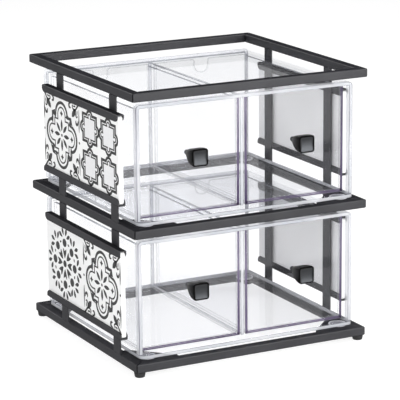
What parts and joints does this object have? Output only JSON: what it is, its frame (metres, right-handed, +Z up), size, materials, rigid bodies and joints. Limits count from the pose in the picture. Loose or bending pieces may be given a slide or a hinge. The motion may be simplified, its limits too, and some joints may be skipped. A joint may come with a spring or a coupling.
{
  "type": "countertop bread display bin",
  "caption": "Two-tier countertop display case in a black metal stand, with clear pull-out bread drawers and tiled side panels.",
  "frame": {"origin": "middle of the footprint, on the surface that the four feet stand on", "axes": "+Z up, -Y towards the front, where the knobs are, +X to the right seen from the front"},
  "size_m": [0.382, 0.343, 0.391],
  "materials": {
    "stand_paint": "satin",
    "foot_rubber": "matte",
    "case_acrylic": "polished clear",
    "drawer_acrylic": "polished clear",
    "tile_print": "satin print",
    "knob_black": "gloss"
  },
  "bodies": {
    "stand": {"bottom_ring": "stand_paint", "middle_ring": "stand_paint", "top_ring": "stand_paint", "front_left_foot": "foot_rubber", "front_right_foot": "foot_rubber", "rear_left_foot": "foot_rubber", "rear_right_foot": "foot_rubber", "upper_case_shell": "case_acrylic", "upper_case_floor": "case_acrylic", "upper_case_back": "case_acrylic", "upper_case_divider": "case_acrylic", "upper_left_front_upright": "stand_paint", "upper_left_rear_upright": "stand_paint", "upper_left_top_channel": "stand_paint", "upper_left_bottom_channel": "stand_paint", "upper_right_front_upright": "stand_paint", "upper_right_rear_upright": "stand_paint", "upper_right_top_channel": "stand_paint", "upper_right_bottom_channel": "stand_paint", "lower_case_shell": "case_acrylic", "lower_case_floor": "case_acrylic", "lower_case_back": "case_acrylic", "lower_case_divider": "case_acrylic", "lower_left_front_upright": "stand_paint", "lower_left_rear_upright": "stand_paint", "lower_left_top_channel": "stand_paint", "lower_left_bottom_channel": "stand_paint", "lower_right_front_upright": "stand_paint", "lower_right_rear_upright": "stand_paint", "lower_right_top_channel": "stand_paint", "lower_right_bottom_channel": "stand_paint"},
    "upper_left_drawer": {"upper_left_drawer_front": "drawer_acrylic", "upper_left_drawer_back": "drawer_acrylic", "upper_left_drawer_floor": "drawer_acrylic", "upper_left_drawer_left_side": "drawer_acrylic", "upper_left_drawer_right_side": "drawer_acrylic", "upper_left_knob": "knob_black"},
    "upper_left_panel": {"upper_left_tile_panel": "tile_print"},
    "upper_right_drawer": {"upper_right_drawer_front": "drawer_acrylic", "upper_right_drawer_back": "drawer_acrylic", "upper_right_drawer_floor": "drawer_acrylic", "upper_right_drawer_left_side": "drawer_acrylic", "upper_right_drawer_right_side": "drawer_acrylic", "upper_right_knob": "knob_black"},
    "upper_right_panel": {"upper_right_tile_panel": "tile_print"},
    "lower_left_drawer": {"lower_left_drawer_front": "drawer_acrylic", "lower_left_drawer_back": "drawer_acrylic", "lower_left_drawer_floor": "drawer_acrylic", "lower_left_drawer_left_side": "drawer_acrylic", "lower_left_drawer_right_side": "drawer_acrylic", "lower_left_knob": "knob_black"},
    "lower_left_panel": {"lower_left_tile_panel": "tile_print"},
    "lower_right_drawer": {"lower_right_drawer_front": "drawer_acrylic", "lower_right_drawer_back": "drawer_acrylic", "lower_right_drawer_floor": "drawer_acrylic", "lower_right_drawer_left_side": "drawer_acrylic", "lower_right_drawer_right_side": "drawer_acrylic", "lower_right_knob": "knob_black"},
    "lower_right_panel": {"lower_right_tile_panel": "tile_print"}
  },
  "joints": [
    {"name": "upper_left_drawer_slide", "type": "slide", "parent": "stand", "child": "upper_left_drawer", "axis": [0, -1, 0], "range_m": [0, 0.24]},
    {"name": "upper_left_panel_slide", "type": "slide", "parent": "stand", "child": "upper_left_panel", "axis": [0, -1, 0], "range_m": [-0.24, 0.24]},
    {"name": "upper_right_drawer_slide", "type": "slide", "parent": "stand", "child": "upper_right_drawer", "axis": [0, -1, 0], "range_m": [0, 0.24]},
    {"name": "upper_right_panel_slide", "type": "slide", "parent": "stand", "child": "upper_right_panel", "axis": [0, -1, 0], "range_m": [-0.24, 0.24]},
    {"name": "lower_left_drawer_slide", "type": "slide", "parent": "stand", "child": "lower_left_drawer", "axis": [0, -1, 0], "range_m": [0, 0.24]},
    {"name": "lower_left_panel_slide", "type": "slide", "parent": "stand", "child": "lower_left_panel", "axis": [0, -1, 0], "range_m": [-0.24, 0.24]},
    {"name": "lower_right_drawer_slide", "type": "slide", "parent": "stand", "child": "lower_right_drawer", "axis": [0, -1, 0], "range_m": [0, 0.24]},
    {"name": "lower_right_panel_slide", "type": "slide", "parent": "stand", "child": "lower_right_panel", "axis": [0, -1, 0], "range_m": [-0.24, 0.24]}
  ]
}
